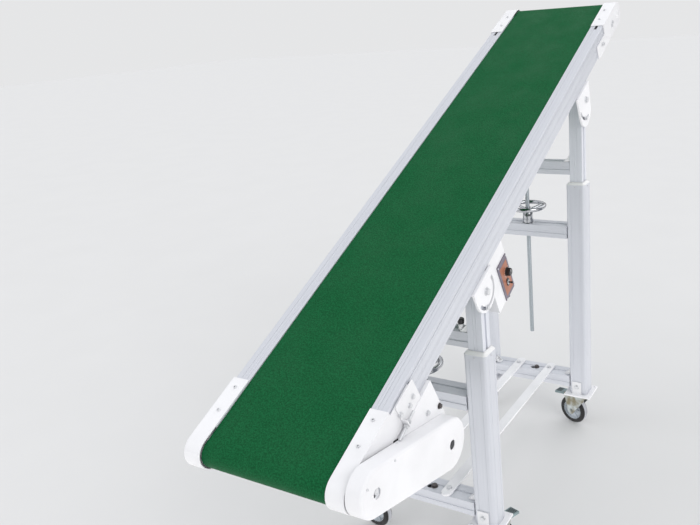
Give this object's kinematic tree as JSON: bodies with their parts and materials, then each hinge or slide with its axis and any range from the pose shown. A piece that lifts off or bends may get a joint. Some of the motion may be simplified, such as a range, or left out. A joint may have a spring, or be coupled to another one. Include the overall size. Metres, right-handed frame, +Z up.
{
  "type": "inclined belt conveyor",
  "caption": "Inclined belt conveyor section with a flat belt between side rails, chain drive under a cover, and a height-adjustable stand on swivel casters.",
  "frame": {"origin": "on the floor, under the middle of the outline seen from above", "axes": "+Z up, +Y from the low tail end to the high head end, +X to the drive side"},
  "size_m": [0.4846, 1.688, 1.3852],
  "materials": {
    "aluminium": "satin anodised extrusion",
    "belt": "matte green PVC, fine woven grain",
    "black": "satin",
    "chrome": "polished",
    "motor": "satin enamel",
    "panel": "satin grey",
    "pedal": "satin grey",
    "steel": "bright machined",
    "tyre": "black rubber",
    "white_paint": "satin powder coat",
    "zinc": "bright zinc plate"
  },
  "bodies": {
    "stand": {"outer_leg_front_left": "aluminium", "outer_leg_front_right": "aluminium", "outer_leg_rear_left": "aluminium", "outer_leg_rear_right": "aluminium", "foot_bracket_front_left": "white_paint", "foot_bracket_front_right": "white_paint", "foot_bracket_rear_left": "white_paint", "foot_bracket_rear_right": "white_paint", "front_lower_beam": "aluminium", "rear_lower_beam": "aluminium", "front_mid_beam": "aluminium", "rear_mid_beam": "aluminium", "tie_bar_left": "white_paint", "tie_bar_right": "white_paint"},
    "front_lift": {"inner_leg_front_left": "aluminium", "inner_leg_front_right": "aluminium", "front_upper_beam": "aluminium", "front_lift_screw": "steel"},
    "rear_lift": {"inner_leg_rear_left": "aluminium", "inner_leg_rear_right": "aluminium", "rear_upper_beam": "aluminium", "rear_lift_screw": "steel"},
    "front_handwheel": {"front_handwheel": "chrome"},
    "rear_handwheel": {"rear_handwheel": "chrome"},
    "deck": {"side_rail_left": "aluminium", "side_rail_right": "aluminium", "slider_bed": "steel", "conveyor_belt": "belt", "tail_end_plate_left": "white_paint", "tail_end_plate_right": "white_paint", "head_end_plate_left": "white_paint", "head_end_plate_right": "white_paint", "front_pivot_plate_left": "white_paint", "front_pivot_plate_right": "white_paint", "motor_plate": "white_paint", "chain_cover": "white_paint", "gear_motor": "motor", "control_box": "white_paint", "control_panel": "panel", "drive_chain": "steel"},
    "rear_brackets": {"rear_pivot_plate_left": "white_paint", "rear_pivot_plate_right": "white_paint"},
    "drive_pulley": {"drive_pulley": "steel", "driven_sprocket": "steel"},
    "motor_sprocket": {"motor_sprocket": "steel"},
    "head_pulley": {"head_pulley": "steel"},
    "return_roller_tail": {"return_roller_tail": "steel"},
    "return_roller_head": {"return_roller_head": "steel"},
    "speed_knob": {"speed_knob": "black"},
    "power_switch": {"power_switch": "black"},
    "caster_front_left": {"caster_fork_front_left": "zinc"},
    "wheel_front_left": {"caster_wheel_front_left": "tyre"},
    "caster_front_right": {"caster_fork_front_right": "zinc"},
    "wheel_front_right": {"caster_wheel_front_right": "tyre"},
    "caster_rear_left": {"caster_fork_rear_left": "zinc"},
    "wheel_rear_left": {"caster_wheel_rear_left": "tyre"},
    "caster_rear_right": {"caster_fork_rear_right": "zinc"},
    "wheel_rear_right": {"caster_wheel_rear_right": "tyre"},
    "brake_front_right": {"brake_pedal_front_right": "pedal"},
    "brake_rear_right": {"brake_pedal_rear_right": "pedal"}
  },
  "joints": [
    {"name": "front_height_wheel", "type": "hinge", "parent": "stand", "child": "front_handwheel", "pos_m": [0.00828, -0.26681, 0.555], "axis": [0, 0, 1], "range_deg": [-375, 18015]},
    {"name": "front_lift_slide", "type": "slide", "parent": "stand", "child": "front_lift", "axis": [0, 0, 1], "range_m": [-0.004, 0.2]},
    {"name": "rear_height_wheel", "type": "hinge", "parent": "stand", "child": "rear_handwheel", "pos_m": [0.00828, 0.46319, 0.775], "axis": [0, 0, 1], "range_deg": [-920, 11820]},
    {"name": "deck_tilt", "type": "hinge", "parent": "front_lift", "child": "deck", "pos_m": [0.00828, -0.25981, 0.775], "axis": [1, 0, 0], "range_deg": [-0.62, 8]},
    {"name": "rear_lift_slide", "type": "slide", "parent": "front_lift", "child": "rear_lift", "axis": [0, 0, 1], "range_m": [-0.0105, 0.1315]},
    {"name": "rear_bracket_slide", "type": "slide", "parent": "deck", "child": "rear_brackets", "axis": [0, 0.9063, 0.4226], "range_m": [-0.008, 0.063]},
    {"name": "belt_drive", "type": "hinge", "parent": "deck", "child": "drive_pulley", "pos_m": [0.00828, -0.80556, 0.59664], "axis": [-1, 0, 0], "continuous": true},
    {"name": "motor_sprocket_spin", "type": "hinge", "parent": "deck", "child": "motor_sprocket", "pos_m": [0.20828, -0.52895, 0.53916], "axis": [-1, 0, 0], "continuous": true},
    {"name": "head_pulley_spin", "type": "hinge", "parent": "deck", "child": "head_pulley", "pos_m": [0.00828, 0.80767, 1.3489], "axis": [-1, 0, 0], "continuous": true},
    {"name": "tail_return_roller_spin", "type": "hinge", "parent": "deck", "child": "return_roller_tail", "pos_m": [0.00828, -0.70677, 0.62141], "axis": [-1, 0, 0], "continuous": true},
    {"name": "head_return_roller_spin", "type": "hinge", "parent": "deck", "child": "return_roller_head", "pos_m": [0.00828, 0.72519, 1.28915], "axis": [-1, 0, 0], "continuous": true},
    {"name": "speed_knob_turn", "type": "hinge", "parent": "deck", "child": "speed_knob", "pos_m": [0.20828, -0.13397, 0.77961], "axis": [-1, 0, 0], "range_deg": [0, 270]},
    {"name": "power_switch_throw", "type": "hinge", "parent": "deck", "child": "power_switch", "pos_m": [0.20478, -0.13053, 0.75143], "axis": [0, -0.4226, 0.9063], "range_deg": [-15, 15]},
    {"name": "caster_swivel_front_left", "type": "hinge", "parent": "stand", "child": "caster_front_left", "pos_m": [-0.16172, -0.25981, 0.1], "axis": [0, 0, 1], "continuous": true},
    {"name": "caster_wheel_spin_front_left", "type": "hinge", "parent": "caster_front_left", "child": "wheel_front_left", "pos_m": [-0.1915, -0.25615, 0.05], "axis": [0.1219, 0.9925, 0], "continuous": true},
    {"name": "caster_swivel_front_right", "type": "hinge", "parent": "stand", "child": "caster_front_right", "pos_m": [0.17828, -0.25981, 0.1], "axis": [0, 0, 1], "continuous": true},
    {"name": "caster_wheel_spin_front_right", "type": "hinge", "parent": "caster_front_right", "child": "wheel_front_right", "pos_m": [0.18605, -0.23083, 0.05], "axis": [0.9659, -0.2588, 0], "continuous": true},
    {"name": "brake_front_right", "type": "hinge", "parent": "caster_front_right", "child": "brake_front_right", "pos_m": [0.1907, -0.21344, 0.107], "axis": [0.9659, -0.2588, 0], "range_deg": [0, 20]},
    {"name": "caster_swivel_rear_left", "type": "hinge", "parent": "stand", "child": "caster_rear_left", "pos_m": [-0.16172, 0.47019, 0.1], "axis": [0, 0, 1], "continuous": true},
    {"name": "caster_wheel_spin_rear_left", "type": "hinge", "parent": "caster_rear_left", "child": "wheel_rear_left", "pos_m": [-0.19126, 0.46498, 0.05], "axis": [-0.1736, 0.9848, 0], "continuous": true},
    {"name": "caster_swivel_rear_right", "type": "hinge", "parent": "stand", "child": "caster_rear_right", "pos_m": [0.17828, 0.47019, 0.1], "axis": [0, 0, 1], "continuous": true},
    {"name": "caster_wheel_spin_rear_right", "type": "hinge", "parent": "caster_rear_right", "child": "wheel_rear_right", "pos_m": [0.14944, 0.47846, 0.05], "axis": [0.2756, 0.9613, 0], "continuous": true},
    {"name": "brake_rear_right", "type": "hinge", "parent": "caster_rear_right", "child": "brake_rear_right", "pos_m": [0.13214, 0.48342, 0.107], "axis": [0.2756, 0.9613, 0], "range_deg": [0, 20]}
  ],
  "couplings": [
    {"joint": "front_height_wheel", "follows": "front_lift_slide", "rad_per_m": 1570.8},
    {"joint": "rear_height_wheel", "follows": "deck_tilt", "ratio": 1476.5},
    {"joint": "rear_lift_slide", "follows": "deck_tilt", "m_per_rad": 0.94},
    {"joint": "rear_bracket_slide", "follows": "deck_tilt", "m_per_rad": 0.45},
    {"joint": "motor_sprocket_spin", "follows": "belt_drive", "ratio": 1},
    {"joint": "head_pulley_spin", "follows": "belt_drive", "ratio": 1},
    {"joint": "tail_return_roller_spin", "follows": "belt_drive", "ratio": -2.3077},
    {"joint": "head_return_roller_spin", "follows": "belt_drive", "ratio": -2.3077}
  ]
}
